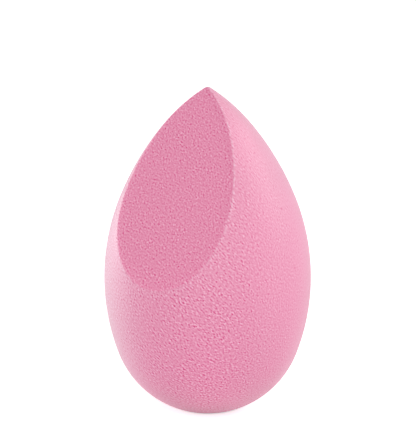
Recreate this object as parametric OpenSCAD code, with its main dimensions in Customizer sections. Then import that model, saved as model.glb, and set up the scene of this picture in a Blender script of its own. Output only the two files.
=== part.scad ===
// Blending sponge for make-up: a teardrop of soft foam in one moulded piece,
// with a round belly, a blunt tip and one flat cut that slants down from the tip.
// +Z runs up the axis to the tip. The foot rests on Z = 0, centred on the axis.
// The flat cut faces -Y and upwards, and the sponge is mirror-symmetric across X = 0.

/* [Body] */
// Height of the teardrop, from the bottom of its curve to its tip
body_h = 62.5; // [50:0.5:76]
// Diameter at the widest ring
body_d = 39; // [32:0.5:47]
// Height of the widest ring above the bottom of the curve
ring_h = 26; // [21:0.5:31.5]
// Radius of the round at the very tip
tip_r = 1; // [0.5:0.1:2]

/* [Flat cut] */
// Angle between the flat cut and the upright axis
cut_angle = 28.5; // [23:0.5:35]
// How far the plane of the cut passes in front of the tip's highest point
cut_lead = 0.2; // [0.1:0.05:0.5]

/* [Foot] */
// Depth by which the bottom curve is cut flat, so that the sponge stands up
foot_depth = 0.5; // [0.3:0.05:1]

/* [Outline] */
// Radius of the flank under the widest ring, against that of one arc down to the bottom
flank_share = 1.5; // [1.3:0.05:1.9]
// Radius of the belly over the widest ring, against that of one arc up to the tip
belly_share = 0.94; // [0.85:0.01:1.05]
// Share of the whole turn up to the tip that the belly takes
belly_turn_share = 0.39; // [0.3:0.01:0.45]
// Share of the whole turn at which the shoulder passes into the crown
shoulder_turn_share = 0.7; // [0.6:0.01:0.8]

/* [Hidden] */
$fn = 180;

foam_colour = [0.93, 0.6, 0.7];
// Widest gap between an arc of the outline and its chords
chord_gap = 0.004;

// The outline is a chain of arcs, each tangent to the next. An arc's angles are
// those of its outward normal: -90 at the bottom, 0 at the widest ring, 90 at the tip.
function along(angle) = [cos(angle), sin(angle)];
function arc_radius(width, height) = (width^2 + height^2) / (2 * width);

body_r = body_d / 2;

// Under the ring: the flank, then the bottom curve with its centre on the axis
flank_r = flank_share * arc_radius(body_r, ring_h);
flank_centre = [body_r - flank_r, ring_h];
bottom_r = (body_r^2 + ring_h^2 - 2 * body_r * flank_r) / (2 * (ring_h - flank_r));
bottom_centre = [0, bottom_r];
bottom_turn = -atan2(ring_h - bottom_r, flank_r - body_r);
foot_turn = -asin((bottom_r - foot_depth) / bottom_r);

// Over the ring: the belly, the shoulder, the crown and the round of the tip
rise = body_h - ring_h;
tip_turn = 2 * atan(body_r / rise);
belly_turn = belly_turn_share * tip_turn;
shoulder_turn = shoulder_turn_share * tip_turn;
belly_r = belly_share * arc_radius(body_r, rise);
belly_centre = [body_r - belly_r, ring_h];
tip_centre = [0, body_h - tip_r];

// The shoulder's and the crown's chords together span from the belly's end to the
// tip's round. Their directions follow from the turns, and so their radii do too.
span = tip_centre + tip_r * along(tip_turn) - belly_centre - belly_r * along(belly_turn);
shoulder_chord = along(shoulder_turn) - along(belly_turn);
crown_chord = along(tip_turn) - along(shoulder_turn);
shoulder_r = cross(span, crown_chord) / cross(shoulder_chord, crown_chord);
crown_r = cross(shoulder_chord, span) / cross(shoulder_chord, crown_chord);
shoulder_centre = belly_centre + (belly_r - shoulder_r) * along(belly_turn);
crown_centre = shoulder_centre + (shoulder_r - crown_r) * along(shoulder_turn);

// Points along an arc, without its last one, which starts the next arc
function arc_points(centre, radius, start, end) =
    let (steps = ceil((end - start) / (2 * acos(1 - chord_gap / radius))))
    [for (i = [0:steps - 1]) centre + radius * along(start + (end - start) * i / steps)];

// Half of the upright section, from the axis outwards and from the foot upwards
module half_section() {
    polygon(concat(
        [[0, foot_depth]],
        arc_points(bottom_centre, bottom_r, foot_turn, bottom_turn),
        arc_points(flank_centre, flank_r, bottom_turn, 0),
        arc_points(belly_centre, belly_r, 0, belly_turn),
        arc_points(shoulder_centre, shoulder_r, belly_turn, shoulder_turn),
        arc_points(crown_centre, crown_r, shoulder_turn, tip_turn),
        arc_points(tip_centre, tip_r, tip_turn, 90),
        [[0, body_h]]
    ));
}

// Everything in front of the flat cut
module cut_away() {
    translate([0, 0, body_h])
        rotate([-cut_angle, 0, 0])
            translate([-body_d, -body_h - cut_lead, -2 * body_h])
                cube([2 * body_d, body_h, 3 * body_h]);
}

module foam_body() {
    color(foam_colour)
        translate([0, 0, -foot_depth])
            difference() {
                rotate_extrude() half_section();
                cut_away();
            }
}

foam_body();
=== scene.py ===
"""Looks of the blending sponge: one foam teardrop with a flat cut, in a white studio."""
import math

import bpy
import numpy as np
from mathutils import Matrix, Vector, noise


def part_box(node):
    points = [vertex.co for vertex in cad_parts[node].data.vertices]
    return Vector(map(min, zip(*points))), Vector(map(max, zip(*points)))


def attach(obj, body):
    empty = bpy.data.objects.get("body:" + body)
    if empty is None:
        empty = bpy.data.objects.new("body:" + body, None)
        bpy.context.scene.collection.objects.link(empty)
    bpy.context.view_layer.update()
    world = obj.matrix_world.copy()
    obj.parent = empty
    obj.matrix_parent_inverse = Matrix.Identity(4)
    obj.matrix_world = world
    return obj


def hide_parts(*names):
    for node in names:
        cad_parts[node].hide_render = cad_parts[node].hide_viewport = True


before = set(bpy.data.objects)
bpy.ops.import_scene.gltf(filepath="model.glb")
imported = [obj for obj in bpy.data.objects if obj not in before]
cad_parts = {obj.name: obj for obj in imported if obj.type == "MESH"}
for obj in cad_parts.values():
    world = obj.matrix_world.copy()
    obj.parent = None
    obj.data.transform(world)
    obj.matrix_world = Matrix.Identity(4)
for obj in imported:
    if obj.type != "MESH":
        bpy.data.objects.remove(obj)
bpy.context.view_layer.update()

MM = 0.001
NODE = "foam_body"
BODY = "root"

node_low, node_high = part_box(NODE)

# Outline of the sponge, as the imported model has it
foot_depth = 0.5 * MM
body_r = (node_high[0] - node_low[0]) / 2
body_h = node_high[2] - node_low[2] + foot_depth
ring_h = 26 * MM
tip_r = 1 * MM
cut_angle = math.radians(28.5)
cut_lead = 0.2 * MM
flank_share = 1.5
belly_share = 0.94
belly_turn_share = 0.39
shoulder_turn_share = 0.7

# Rounds where the cut and the foot meet the curved foam
RIM_ROUND = 0.15 * MM
FOOT_ROUND = 0.3 * MM
# The cut rolls off to its rim: how much lower the rim is, and how deep under the
# curved foam the roll begins
ROLL_DEPTH = 0.15 * MM
ROLL_REACH = 1.3 * MM

# Loops that follow the rim on both sides of it, by their distance from it
RIM_LOOPS = [0.12 * MM, 0.25 * MM, 0.4 * MM, 0.6 * MM, 0.9 * MM]
# Quads along a quarter of the rim and from the rim to the cap of the back, and
# where that cap begins
QUADS_SIDE = 92
QUADS_BACK = 180
BACK_CAP = math.radians(150)
# Points by which a quarter of the rim is measured, and halvings in a search for
# the surface
RIM_POINTS = 900
HALVINGS = 40

# Nicks along the rim, where the cut has torn cells: how long and how deep
NICK_SIZE = 0.9 * MM
NICK_DEPTH = 0.1 * MM
# At each loop, from the cut over the rim to the body: how deep a nick still is, and
# how much painted light it has: a painted highlight above 0, painted shade below 0
RIM_NICK = [0, 0, 0, 0.2, 0.6, 1, 0.7, 0.3, 0, 0, 0]
RIM_PAINTED_LIGHT = [0, -0.1, -0.2, -0.1, 0, 0.5, 1, 1, 0.6, 0.1, 0]

# Cells of the foam: how fine, how deep, and how far to look for a pit's walls
CELL_SCALE = 1950
CELL_DEPTH = 0.07 * MM
CELL_REACH = 0.22 * MM
# Finer cells among them: how many more sizes, how much finer and how strong
FINE_SIZES = 1.0
FINE_RATIO = 1.5
FINE_SHARE = 0.8
# Cells are longer along one slanting direction, down to the right, which streaks their painted
# pit shade the way light from the upper right would
CELL_STRETCH = 1.5
# The directions in which to look, evenly spread
CELL_STEPS = ((1, 1, 1), (1, -1, -1), (-1, 1, -1), (-1, -1, 1))
# Cells differ from spot to spot: the scale of the spots and of wider patches,
# and by how much
SPOT_SCALE, SPOT_SHARE = 1800, 0.5
PATCH_SCALE, PATCH_SHARE = 400, 0.15
# The mean of a noise, and about how far it strays from it
NOISE_MEAN, NOISE_SPREAD = 0.5, 0.25
# A few larger pores, one in each block of this scale whose random value is over
# PORE_RARITY. The radius is a share of a block, the floor a share of the radius,
# and the relief a share of the full relief
PORE_SCALE = 250
PORE_RARITY = 0.55
PORE_RADIUS = 0.075
PORE_FLOOR = 0.5
PORE_RELIEF = 0.6
# How strongly the grain and its painted pit shade show in colour, and the grain in bump
FAINT_GRAIN_TONE, STRONG_GRAIN_TONE = 0.75, 2.2
FAINT_GRAIN_BUMP, STRONG_GRAIN_BUMP = 0.1, 1

# The side of the sponge that the photograph shows, as a fixed direction in
# degrees. The camera stands there, and the skin's flanks lie to both sides of it
FRONT_AZIMUTH = 31.3
FRONT_ELEVATION = 12

# Zones of the skin, by the way in which it faces, where light and shade are painted. "aside"
# is 1 on the right flank and -1 on the left, "upward" is 1 where it faces up and -1 where
# it faces down. Each range is (from, to, value at from, value at to)
# Grain and its painted pit shade are strong in front and low down and faint on the flanks,
# following how light falls across the skin. The left flank fades less than the right
LEFT_GRAIN_FALL = -0.24
ASIDE_GRAIN = (0.06, 1, 1, 0)
HIGH_GRAIN = (-0.2, 0.6, 1, 0.6)
LOW_GRAIN = (-0.9, -0.4, 1.4, 1)
CUT_GRAIN = 0.6
# A painted highlight on the left flank, and painted sheen paler still at its mid height
LEFT_HIGHLIGHT_ASIDE = (-0.6, -1, 0, 1)
LEFT_SHEEN_ASIDE = (-0.7, -1, 0, 1)
LEFT_SHEEN_FROM_LOW = (-0.8, -0.2, 0, 1)
LEFT_SHEEN_FROM_HIGH = (0.4, -0.05, 0, 1)
# Painted light, redder low on the left and high on the right
LIT_LEFT_ASIDE = (-0.3, -0.8, 0, 0.6)
LIT_LEFT_UPWARD = (-0.3, -0.8, 0, 1)
LIT_RIGHT_ASIDE = (0.75, 1, 0, 0.6)
LIT_RIGHT_UPWARD = (-0.1, 0.3, 0, 1)
# Painted shade, deeper pink where it leans to the lower right: the shares of both ways in the
# lean
LEAN_ASIDE, LEAN_UPWARD = 0.95, -0.31
SHADE_LEAN = (0.65, 1, 0, 1)
# The painted highlight along the rim: the scale of its spots, the spots and where it shows most
RIM_SPOT_SCALE = 1500
RIM_SPOTS = (0.35, 0.65, 0, 2)
RIM_HIGHLIGHT_ASIDE = (-0.1, 0.5, 0.2, 1.4)

# The foam's colour low down, and paler high up and at the tip as painted light from above, the
# heights at which it is that, its colour on the left flank, a painted highlight, and on the cut
LOW_COLOUR = (0.79, 0.257, 0.428)
LIT_HIGH_COLOUR = (0.795, 0.305, 0.455)
LIT_TIP_COLOUR = (0.85, 0.335, 0.49)
LOW_PLACE, HIGH_PLACE, TIP_PLACE = 2 * MM, 46 * MM, 54 * MM
LEFT_HIGHLIGHT_COLOUR = (0.75, 0.323, 0.47)
CUT_COLOUR = (0.835, 0.266, 0.438)
# What is added to it in the zones above: painted light, painted sheen, painted shade, and the
# painted highlight along the rim
PAINTED_LIGHT_SHIFT = (0.12, 0.022, 0.07)
LEFT_SHEEN_SHIFT = (0.03, 0.055, 0.045)
PAINTED_SHADE_SHIFT = (0, -0.055, -0.04)
RIM_HIGHLIGHT_SHIFT = (0.03, 0.09, 0.08)
# What is added on the walls of cells and taken off in their pits, partly the foam's grain and
# partly painted shade in the pits, and the relief at which it is all of that
GRAIN_AND_SHADE_SHIFT = (0.12, 0.255, 0.245)
FULL_RELIEF = 0.3
# Gloss and sheen of the foam
FOAM_ROUGHNESS = 0.5
FOAM_SPECULAR = 0.35
SHEEN_WEIGHT = 0.38
SHEEN_ROUGHNESS = 0.6

# Studio: a white floor and world, and four soft lamps
WHITE = (1, 1, 1, 1)
FLOOR_COLOUR = (0.9, 0.9, 0.9, 1)
FLOOR_HALF = 3
FLOOR_GLOW = 0.65
WORLD_LIGHT = 0.3
WORLD_SHOWN = 1.0
LAMP_DISTANCE = 600 * MM
LAMP_SIZE = 350 * MM
# Each lamp's degrees around from the front, degrees up, and power in watts
LAMPS = {
    "key": (100, 30, 1.67),
    "fill": (0, 20, 1.78),
    "side": (-110, 0, 1.22),
    "rim": (-125, 5, 1.7),
}

# The photograph's frame in pixels, where the sponge's middle is in it, and the
# camera's sensor in millimetres
FRAME_WIDTH, FRAME_HEIGHT = 416, 439
CENTRE_X_PX, CENTRE_Y_PX = 207.6, 249.8
PIXELS_PER_MM = 5.305
VIEW_DISTANCE = 1000 * MM
SENSOR = 36


def along(angle):
    return np.array([math.cos(angle), math.sin(angle)])


def cross(a, b):
    return a[0] * b[1] - a[1] * b[0]


def arc_radius(width, height):
    return (width**2 + height**2) / (2 * width)


def unit(vectors):
    return vectors / np.linalg.norm(vectors, axis=-1, keepdims=True)


def outline():
    """The half section's tangent arcs from the bottom up, each (centre, radius, end angle)."""
    flank_r = flank_share * arc_radius(body_r, ring_h)
    flank = np.array([body_r - flank_r, ring_h])
    bottom_r = (body_r**2 + ring_h**2 - 2 * body_r * flank_r) / (2 * (ring_h - flank_r))
    bottom_turn = -math.atan2(ring_h - bottom_r, flank_r - body_r)

    rise = body_h - ring_h
    tip_turn = 2 * math.atan2(body_r, rise)
    belly_turn = belly_turn_share * tip_turn
    shoulder_turn = shoulder_turn_share * tip_turn
    belly_r = belly_share * arc_radius(body_r, rise)
    belly = np.array([body_r - belly_r, ring_h])
    tip = np.array([0, body_h - tip_r])

    span = tip + tip_r * along(tip_turn) - belly - belly_r * along(belly_turn)
    shoulder_chord = along(shoulder_turn) - along(belly_turn)
    crown_chord = along(tip_turn) - along(shoulder_turn)
    shoulder_r = cross(span, crown_chord) / cross(shoulder_chord, crown_chord)
    crown_r = cross(shoulder_chord, span) / cross(shoulder_chord, crown_chord)
    shoulder = belly + (belly_r - shoulder_r) * along(belly_turn)
    crown = shoulder + (shoulder_r - crown_r) * along(shoulder_turn)
    return [
        (np.array([0, bottom_r]), bottom_r, bottom_turn),
        (flank, flank_r, 0),
        (belly, belly_r, belly_turn),
        (shoulder, shoulder_r, shoulder_turn),
        (crown, crown_r, tip_turn),
        (tip, tip_r, math.pi / 2),
    ]


ARCS = outline()
TIP = np.array([0, 0, body_h - foot_depth])
CUT_NORMAL = np.array([0, -math.cos(cut_angle), math.sin(cut_angle)])
CUT_UP = np.array([0, math.sin(cut_angle), math.cos(cut_angle)])
ACROSS = np.array([1, 0, 0])
# A point well inside the sponge, from which rays go out to its surface
CORE = np.array([0, 0.1 * body_r, 0.45 * body_h])
# The space is scaled by this, so that the sponge is about as wide as it is tall
ROUND_SCALE = np.array([body_r, body_r, body_h / 2])


def teardrop_distance(points):
    """Signed distance to the teardrop before it is cut, for points in the row frame."""
    flat = np.stack([np.hypot(points[:, 0], points[:, 1]), points[:, 2] + foot_depth], 1)
    distance = None
    start = -math.pi / 2
    for centre, radius, end in ARCS:
        to_point = flat - centre
        past_start = cross(along(start), to_point.T) >= 0
        here = np.hypot(to_point[:, 0], to_point[:, 1]) - radius
        distance = here if distance is None else np.where(past_start, here, distance)
        start = end
    return distance


def rounded_and(a, b, radius):
    """Distance to what two solids share, with their common edge rounded."""
    corner = np.hypot(np.maximum(a + radius, 0), np.maximum(b + radius, 0))
    return np.minimum(np.maximum(a, b), -radius) + corner


def sponge_distance(points):
    """Signed distance to the sponge, its cut rolled off and its edges rounded."""
    to_teardrop = teardrop_distance(points)
    from_rim = np.clip(1 + to_teardrop / ROLL_REACH, 0, 1)
    roll = ROLL_DEPTH * (1 - from_rim**2)
    to_cut = (points - TIP) @ CUT_NORMAL - cut_lead - roll
    cut_body = rounded_and(to_teardrop, to_cut, RIM_ROUND)
    return rounded_and(cut_body, -points[:, 2], FOOT_ROUND)


def push_out(start, directions, distance):
    """Where rays from a point inside a solid leave it."""
    low = np.zeros(len(directions))
    high = np.full(len(directions), 2 * body_h)
    for _ in range(HALVINGS):
        middle = (low + high) / 2
        inside = distance(start + directions * middle[:, None]) < 0
        low, high = np.where(inside, middle, low), np.where(inside, high, middle)
    return start + directions * low[:, None]


class Rim:
    """The sharp rim of the cut: a closed curve, even in length over each quarter turn."""

    def __init__(self):
        start = TIP + CUT_NORMAL * cut_lead - CUT_UP * body_r
        bottom, top = push_out(start, np.stack([-CUT_UP, CUT_UP]), teardrop_distance)
        self.centre = (bottom + top) / 2
        turn = np.linspace(0, 2 * math.pi, 4 * RIM_POINTS + 1)
        rays = np.sin(turn)[:, None] * ACROSS + np.cos(turn)[:, None] * CUT_UP
        self.points = push_out(self.centre, rays, teardrop_distance)
        steps = np.linalg.norm(np.diff(self.points, axis=0), axis=1)
        length = np.concatenate([[0], np.cumsum(steps)])
        quarters = length[::RIM_POINTS]
        self.turn = np.interp(length, quarters, np.arange(5) * math.pi / 2)

    def at(self, turn):
        turn = turn % (2 * math.pi)
        return np.stack([np.interp(turn, self.turn, self.points[:, k]) for k in range(3)], -1)


def square_to_disc(count):
    """Radius and turn of a grid of points on a disc, one corner of the grid at turn 0."""
    even = math.sqrt(2) * np.sin(np.linspace(-math.pi / 4, math.pi / 4, count + 1))
    a, b = np.meshgrid(even, even, indexing="ij")
    x, y = a * np.sqrt(1 - b**2 / 2), b * np.sqrt(1 - a**2 / 2)
    return np.hypot(x, y), np.arctan2(y, x) - math.pi / 4


def border(count):
    """Numbers of such a grid's border points, once around from the corner at turn 0."""
    side = np.arange(count)
    full, none = np.full(count, count), np.zeros(count, int)
    i = np.concatenate([full - side, none, side, full])
    j = np.concatenate([full, full - side, none, side])
    return i * (count + 1) + j


def grid_quads(count):
    number = np.arange((count + 1) ** 2).reshape(count + 1, count + 1)
    corners = [number[:-1, :-1], number[1:, :-1], number[1:, 1:], number[:-1, 1:]]
    return np.stack(corners, -1).reshape(-1, 4)


def foam_surface():
    """Points, quads and loops of the smooth sponge.

    A grid lies on the cut, loops run from its border over the rim to the back, and a
    second grid closes the back.
    """
    rim = Rim()
    around = 4 * QUADS_SIDE
    turn = np.arange(around) * 2 * math.pi / around
    radius, grid_turn = square_to_disc(QUADS_SIDE)

    axis = unit((rim.centre - CORE) / ROUND_SCALE)
    side_axis = unit(np.cross(axis, ACROSS))
    up_axis = side_axis if side_axis[2] > 0 else -side_axis

    def from_angles(polar, azimuth):
        ring = np.cos(azimuth)[..., None] * up_axis + np.sin(azimuth)[..., None] * ACROSS
        ray = np.cos(polar)[..., None] * axis + np.sin(polar)[..., None] * ring
        return unit(ray * ROUND_SCALE)

    # The grid on the cut, and the loops from it out to the rim
    rim_points = rim.at(turn)
    reach = np.linalg.norm(rim_points - rim.centre, axis=1)
    grid_reach = np.interp(grid_turn % (2 * math.pi), turn, reach, period=2 * math.pi)
    shares = (radius * (1 - RIM_LOOPS[-1] / grid_reach))[..., None]
    front = rim.centre + (rim.at(grid_turn) - rim.centre) * shares
    directions = [unit(front.reshape(-1, 3) - CORE)]
    for gap in [*RIM_LOOPS[-2::-1], 0]:
        loop = rim.centre + (rim_points - rim.centre) * (1 - gap / reach)[:, None]
        directions.append(unit(loop - CORE))

    # The loops from the rim back to the cap
    rim_rays = unit((rim_points - CORE) / ROUND_SCALE)
    polar = np.arccos(np.clip(rim_rays @ axis, -1, 1))
    azimuth = np.unwrap(np.arctan2(rim_rays @ ACROSS, rim_rays @ up_axis))
    path = np.linalg.norm(rim_points - CORE, axis=1) * (BACK_CAP - polar)
    steps = [gap / path for gap in RIM_LOOPS]
    last = steps[-1]
    steps += [last + (1 - last) * k / QUADS_BACK for k in range(1, QUADS_BACK)]
    for share in steps:
        loop_polar = polar + (BACK_CAP - polar) * share
        directions.append(from_angles(loop_polar, azimuth + (turn - azimuth) * share))
    loop_count = len(directions) - 1
    cap = from_angles(math.pi - radius * (math.pi - BACK_CAP), grid_turn)
    directions.append(cap.reshape(-1, 3))
    points = push_out(CORE, np.concatenate(directions), sponge_distance)

    # Quads: the front grid, the bands between loops, the back grid
    cells = grid_quads(QUADS_SIDE)
    first = (QUADS_SIDE + 1) ** 2
    back = first + loop_count * around
    loops = [border(QUADS_SIDE)]
    loops += [first + k * around + np.arange(around) for k in range(loop_count)]
    loops.append(back + border(QUADS_SIDE))
    quads = [cells]
    for a, b in zip(loops, loops[1:]):
        quads.append(np.stack([a, b, np.roll(b, -1), np.roll(a, -1)], -1))
    quads.append(back + cells[:, ::-1])
    return points, np.concatenate(quads), loops


def foam_mesh():
    """The sponge's mesh, with nicks in its rim, its painted rim light and shade, and how much of
    the cut it is.
    """
    points, quads, loops = foam_surface()
    rim_paint, on_cut = np.zeros(len(points)), np.zeros(len(points))
    # Each loop's nick, and its painted rim highlight or painted shade
    for loop, nick, rim_painted in zip(loops, RIM_NICK, RIM_PAINTED_LIGHT):
        rim_paint[loop] = rim_painted
        here = points[loop]
        ragged = np.array([max(0, noise.noise(Vector(place / NICK_SIZE))) for place in here])
        points[loop] = here + unit(CORE - here) * (NICK_DEPTH * nick * ragged)[:, None]
    on_cut[: (QUADS_SIDE + 1) ** 2] = 1
    for loop in loops[: len(RIM_LOOPS)]:
        on_cut[loop] = 1

    mesh = bpy.data.meshes.new(NODE)
    mesh.from_pydata(points.tolist(), [], quads.tolist())
    mesh.update()
    if sum(f.center.dot(f.normal) * f.area for f in mesh.polygons) < 0:
        mesh.flip_normals()
    mesh.shade_smooth()
    for name, values in (("rim_paint", rim_paint), ("cut", on_cut)):
        mesh.attributes.new(name, "FLOAT", "POINT").data.foreach_set("value", values)
    return mesh


def node_tree(owner):
    owner.use_nodes = True
    tree = owner.node_tree
    tree.nodes.clear()
    return tree


def feed(tree, value, socket):
    """Link an output to the socket, or set the socket to a plain value."""
    if isinstance(value, bpy.types.NodeSocket):
        tree.links.new(value, socket)
    else:
        socket.default_value = value


def node(tree, kind, **inputs):
    """A new node, its inputs given by name or, where two share a name, as _ and a number."""
    made = tree.nodes.new(kind)
    for name, value in inputs.items():
        key = int(name[1:]) if name[1:].isdigit() else name.replace("_", " ")
        feed(tree, value, made.inputs[key])
    return made


def math_node(tree, operation, *values):
    made = tree.nodes.new("ShaderNodeMath")
    made.operation = operation
    for socket, value in zip(made.inputs, values):
        feed(tree, value, socket)
    return made.outputs[0]


def vector_node(tree, operation, *values, scale=None):
    made = tree.nodes.new("ShaderNodeVectorMath")
    made.operation = operation
    for socket, value in zip(made.inputs, values):
        feed(tree, value, socket)
    if scale is not None:
        feed(tree, scale, made.inputs["Scale"])
    return made.outputs["Value" if operation == "DOT_PRODUCT" else "Vector"]


def attribute(tree, name):
    made = tree.nodes.new("ShaderNodeAttribute")
    made.attribute_name = name
    return made.outputs["Fac"]


def map_range(tree, value, from_low, from_high, to_low, to_high):
    """The value mapped from one range to another, and held at its ends."""
    limits = {"From Min": from_low, "From Max": from_high, "To Min": to_low, "To Max": to_high}
    return node(tree, "ShaderNodeMapRange", Value=value, **limits).outputs["Result"]


def zone(tree, *ranges):
    """The product of some ranges, each given as (value, range)."""
    share = None
    for value, limits in ranges:
        part = map_range(tree, value, *limits)
        share = part if share is None else math_node(tree, "MULTIPLY", share, part)
    return share


def mix_colour(tree, share, first, second):
    """The first colour where the share is 0, the second where it is 1."""
    made = tree.nodes.new("ShaderNodeMix")
    made.data_type = "RGBA"
    feed(tree, share, made.inputs["Factor"])
    for socket, colour in ((made.inputs[6], first), (made.inputs[7], second)):
        feed(tree, (*colour, 1) if isinstance(colour, tuple) else colour, socket)
    return made.outputs[2]


def shift_colour(tree, colour, shift, share):
    """The colour with the given share of a shift added."""
    return vector_node(tree, "ADD", colour, vector_node(tree, "SCALE", shift, scale=share))


def noise_at(tree, place, scale, **octaves):
    octaves = {"Detail": 0.0, **octaves}
    return node(tree, "ShaderNodeTexNoise", Scale=scale, Vector=place, **octaves).outputs["Fac"]


def uneven(tree, place, scale, share):
    """A factor about 1 that differs from place to place by about the given share."""
    wave = math_node(tree, "SUBTRACT", noise_at(tree, place, scale), NOISE_MEAN)
    return math_node(tree, "MULTIPLY_ADD", wave, share / NOISE_SPREAD, 1.0)


def cell_height(tree, place):
    """Height of the cells' walls, the cells longer down to the right across the front."""
    _, right, up = directions_at(FRONT_AZIMUTH, FRONT_ELEVATION)
    stretch = tree.nodes.new("ShaderNodeMapping")
    stretch.vector_type = "TEXTURE"
    feed(tree, place, stretch.inputs["Vector"])
    feed(tree, (right - up).to_track_quat("X", "Z").to_euler(), stretch.inputs["Rotation"])
    feed(tree, (CELL_STRETCH, 1, 1), stretch.inputs["Scale"])
    sizes = {"Detail": FINE_SIZES, "Lacunarity": FINE_RATIO, "Roughness": FINE_SHARE}
    return noise_at(tree, stretch.outputs[0], CELL_SCALE, **sizes)


def cell_relief(tree, place, normal, here):
    """A cell's height against the mean around it along the surface: above 0 on walls."""
    reach = CELL_REACH / math.sqrt(3)
    around = None
    for corner in CELL_STEPS:
        step = tuple(reach * k for k in corner)
        outward = vector_node(tree, "DOT_PRODUCT", normal, step)
        out_of_surface = vector_node(tree, "SCALE", normal, scale=outward)
        along_surface = vector_node(tree, "SUBTRACT", step, out_of_surface)
        height = cell_height(tree, vector_node(tree, "ADD", place, along_surface))
        around = height if around is None else math_node(tree, "ADD", around, height)
    return math_node(tree, "MULTIPLY_ADD", around, -1 / len(CELL_STEPS), here)


def pores(tree, place):
    """1 in a few scattered pores, 0 elsewhere."""
    blocks = node(tree, "ShaderNodeTexVoronoi", Scale=PORE_SCALE, Vector=place)
    chosen = math_node(tree, "GREATER_THAN", blocks.outputs["Color"], PORE_RARITY)
    inside = (PORE_FLOOR * PORE_RADIUS, PORE_RADIUS, 1, 0)
    dip = map_range(tree, blocks.outputs["Distance"], *inside)
    return math_node(tree, "MULTIPLY", dip, chosen)


def grain_strength_zones(tree, aside, upward):
    """From 0 where the grain and its painted pit shade are faint to 1 and more where they are
    strong.
    """
    left = math_node(tree, "MULTIPLY", aside, LEFT_GRAIN_FALL)
    flank = math_node(tree, "MAXIMUM", aside, left)
    # Strong in front and low down, faint on the flanks: painted pit shade that follows the light
    skin = zone(tree, (upward, HIGH_GRAIN), (upward, LOW_GRAIN), (flank, ASIDE_GRAIN))
    mixed = node(tree, "ShaderNodeMix", Factor=attribute(tree, "cut"), A=skin, B=CUT_GRAIN)
    return mixed.outputs["Result"]


def foam_tone(tree, place, aside, upward):
    """The foam's colour without its cells: paler towards the tip as painted light from above,
    and uneven by zones of painted light, painted sheen and painted shade.
    """
    position = node(tree, "ShaderNodeSeparateXYZ", Vector=place)
    # How far up the skin is: it pales upwards and at the tip as painted light from above
    from_low = map_range(tree, position.outputs["Z"], LOW_PLACE, HIGH_PLACE, 0, 1)
    from_high = map_range(tree, position.outputs["Z"], HIGH_PLACE, TIP_PLACE, 0, 1)
    # Painted highlight on the left flank
    left_highlight = zone(tree, (aside, LEFT_HIGHLIGHT_ASIDE))
    # Painted light, redder low on the left and high on the right
    lit_left = zone(tree, (aside, LIT_LEFT_ASIDE), (upward, LIT_LEFT_UPWARD))
    lit_right = zone(tree, (aside, LIT_RIGHT_ASIDE), (upward, LIT_RIGHT_UPWARD))
    painted_light = math_node(tree, "ADD", lit_left, lit_right)
    # Painted sheen on the left flank at mid height
    left_sheen = zone(tree, (upward, LEFT_SHEEN_FROM_LOW), (upward, LEFT_SHEEN_FROM_HIGH), (aside, LEFT_SHEEN_ASIDE))
    # Painted shade where the skin leans to the lower right
    fall = math_node(tree, "MULTIPLY", upward, LEAN_UPWARD)
    painted_shade = zone(tree, (math_node(tree, "MULTIPLY_ADD", aside, LEAN_ASIDE, fall), SHADE_LEAN))

    # Paler upwards and at the tip: painted light from above
    tone = mix_colour(tree, from_low, LOW_COLOUR, LIT_HIGH_COLOUR)
    tone = mix_colour(tree, from_high, tone, LIT_TIP_COLOUR)
    # The painted highlight on the left flank
    tone = mix_colour(tree, left_highlight, tone, LEFT_HIGHLIGHT_COLOUR)
    # The painted light, low on the left and high on the right
    tone = shift_colour(tree, tone, PAINTED_LIGHT_SHIFT, painted_light)
    # The painted sheen on the left flank at mid height
    tone = shift_colour(tree, tone, LEFT_SHEEN_SHIFT, left_sheen)
    # The painted shade to the lower right
    tone = shift_colour(tree, tone, PAINTED_SHADE_SHIFT, painted_shade)
    return mix_colour(tree, attribute(tree, "cut"), tone, CUT_COLOUR)


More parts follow.
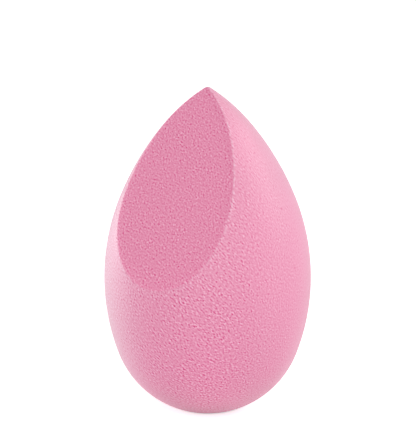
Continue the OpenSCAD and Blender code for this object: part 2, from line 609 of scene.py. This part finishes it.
def foam_material():
    """Matte foam: each pit between the cell walls is deeper pink than the walls around it,
    partly grain and partly painted shade, with painted light and shade by zones and on the rim.
    """
    material = bpy.data.materials.new("sponge_foam")
    tree = node_tree(material)
    coordinates = tree.nodes.new("ShaderNodeTexCoord")
    place, normal = coordinates.outputs["Object"], coordinates.outputs["Normal"]
    _, right, up = directions_at(FRONT_AZIMUTH, FRONT_ELEVATION)
    aside = vector_node(tree, "DOT_PRODUCT", normal, tuple(right))
    upward = vector_node(tree, "DOT_PRODUCT", normal, tuple(up))

    # The cells' relief with its painted pit shade, stronger in front and low down, and the pores
    here = cell_height(tree, place)
    # How strongly the grain and its painted pit shade show, by the way the skin faces
    grain_strength = grain_strength_zones(tree, aside, upward)
    contrast = math_node(tree, "MULTIPLY_ADD", grain_strength, STRONG_GRAIN_TONE - FAINT_GRAIN_TONE, FAINT_GRAIN_TONE)
    relief = cell_relief(tree, place, normal, here)
    relief = math_node(tree, "MULTIPLY", relief, uneven(tree, place, SPOT_SCALE, SPOT_SHARE))
    relief = math_node(tree, "MULTIPLY", relief, uneven(tree, place, PATCH_SCALE, PATCH_SHARE))
    relief = math_node(tree, "MULTIPLY", relief, contrast)
    pore = pores(tree, place)
    relief = math_node(tree, "MULTIPLY_ADD", pore, -PORE_RELIEF * FULL_RELIEF, relief)
    relief = map_range(tree, relief, -FULL_RELIEF, FULL_RELIEF, -1, 1)

    # The painted highlight along the rim, uneven in spots and strongest on the right
    spots = noise_at(tree, place, RIM_SPOT_SCALE)
    ragged = zone(tree, (spots, RIM_SPOTS), (aside, RIM_HIGHLIGHT_ASIDE))
    rim_painted = math_node(tree, "MULTIPLY", attribute(tree, "rim_paint"), ragged)

    tone = foam_tone(tree, place, aside, upward)
    # Pits deeper pink than walls: partly grain, partly painted shade in the pits
    tone = shift_colour(tree, tone, GRAIN_AND_SHADE_SHIFT, relief)
    # The painted highlight along the rim, and the painted shade just inside it on the cut
    tone = shift_colour(tree, tone, RIM_HIGHLIGHT_SHIFT, rim_painted)
    bump = node(
        tree,
        "ShaderNodeBump",
        Strength=map_range(tree, grain_strength, 0, 1, FAINT_GRAIN_BUMP, STRONG_GRAIN_BUMP),
        Distance=CELL_DEPTH,
        Height=math_node(tree, "SUBTRACT", here, pore),
    )
    shader = node(
        tree,
        "ShaderNodeBsdfPrincipled",
        Base_Color=tone,
        Roughness=FOAM_ROUGHNESS,
        Specular_IOR_Level=FOAM_SPECULAR,
        Sheen_Weight=SHEEN_WEIGHT,
        Sheen_Roughness=SHEEN_ROUGHNESS,
        Normal=bump.outputs["Normal"],
    )
    node(tree, "ShaderNodeOutputMaterial", Surface=shader.outputs[0])
    return material


def make_sponge():
    sponge = bpy.data.objects.new("sponge", foam_mesh())
    bpy.context.collection.objects.link(sponge)
    sponge.data.materials.append(foam_material())
    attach(sponge, BODY)
    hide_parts(NODE)


def seen_rays(tree):
    """1 for the rays that show a background: those of the camera, reflections and glass."""
    path = tree.nodes.new("ShaderNodeLightPath")
    seen = math_node(tree, "ADD", path.outputs["Is Camera Ray"], path.outputs["Is Glossy Ray"])
    return math_node(tree, "ADD", seen, path.outputs["Is Transmission Ray"])


def make_floor():
    """A white floor. It is lit, so it has the sponge's shadow, and glows a little where seen."""
    mesh = bpy.data.meshes.new("floor")
    corners = [(-1, -1, 0), (1, -1, 0), (1, 1, 0), (-1, 1, 0)]
    mesh.from_pydata([Vector(corner) * FLOOR_HALF for corner in corners], [], [(0, 1, 2, 3)])
    floor = bpy.data.objects.new("floor", mesh)
    bpy.context.collection.objects.link(floor)
    material = bpy.data.materials.new("floor")
    tree = node_tree(material)
    lit = node(tree, "ShaderNodeBsdfDiffuse", Color=FLOOR_COLOUR)
    strength = math_node(tree, "MULTIPLY", seen_rays(tree), FLOOR_GLOW)
    glow = node(tree, "ShaderNodeEmission", Strength=strength)
    both = node(tree, "ShaderNodeAddShader", _0=lit.outputs[0], _1=glow.outputs[0])
    node(tree, "ShaderNodeOutputMaterial", Surface=both.outputs[0])
    mesh.materials.append(material)


def make_world():
    """Even white light, and a white background wherever it is seen."""
    world = bpy.data.worlds.new("studio")
    bpy.context.scene.world = world
    tree = node_tree(world)
    light = node(tree, "ShaderNodeBackground", Color=WHITE, Strength=WORLD_LIGHT).outputs[0]
    shown = node(tree, "ShaderNodeBackground", Color=WHITE, Strength=WORLD_SHOWN).outputs[0]
    mix = node(tree, "ShaderNodeMixShader", Fac=seen_rays(tree), _1=light, _2=shown)
    node(tree, "ShaderNodeOutputWorld", Surface=mix.outputs[0])


def directions_at(azimuth, elevation):
    """Directions out of the sponge at these angles, and to the right and up across it there."""
    a, e = math.radians(azimuth), math.radians(elevation)
    out = Vector((math.sin(a) * math.cos(e), -math.cos(a) * math.cos(e), math.sin(e)))
    right = Vector((math.cos(a), math.sin(a), 0))
    return out, right, out.cross(right)


def face_back(holder, place, out):
    """Put a lamp or camera at a place, so that it looks against a direction."""
    holder.location = place
    holder.rotation_euler = out.to_track_quat("Z", "Y").to_euler()


def make_lamps():
    target = Vector((0, 0, body_h / 2))
    for name, (turn, elevation, power) in LAMPS.items():
        lamp = bpy.data.lights.new(name, "AREA")
        lamp.shape = "DISK"
        lamp.size = LAMP_SIZE
        lamp.energy = power
        holder = bpy.data.objects.new(name, lamp)
        bpy.context.collection.objects.link(holder)
        out, _, _ = directions_at(FRONT_AZIMUTH + turn, elevation)
        face_back(holder, target + out * LAMP_DISTANCE, out)


def make_camera():
    camera = bpy.data.cameras.new("camera")
    camera.sensor_width = SENSOR
    camera.lens = SENSOR * VIEW_DISTANCE / MM * PIXELS_PER_MM / FRAME_HEIGHT
    holder = bpy.data.objects.new("camera", camera)
    bpy.context.collection.objects.link(holder)
    out, right, up = directions_at(FRONT_AZIMUTH, FRONT_ELEVATION)
    middle = Vector((0, 0, body_h / 2 - foot_depth))
    to_right = (FRAME_WIDTH / 2 - CENTRE_X_PX) / PIXELS_PER_MM * MM
    to_top = (CENTRE_Y_PX - FRAME_HEIGHT / 2) / PIXELS_PER_MM * MM
    face_back(holder, middle + right * to_right + up * to_top + out * VIEW_DISTANCE, out)
    bpy.context.scene.camera = holder


make_sponge()
make_floor()
make_world()
make_lamps()
make_camera()
bpy.context.scene.view_settings.view_transform = "Standard"
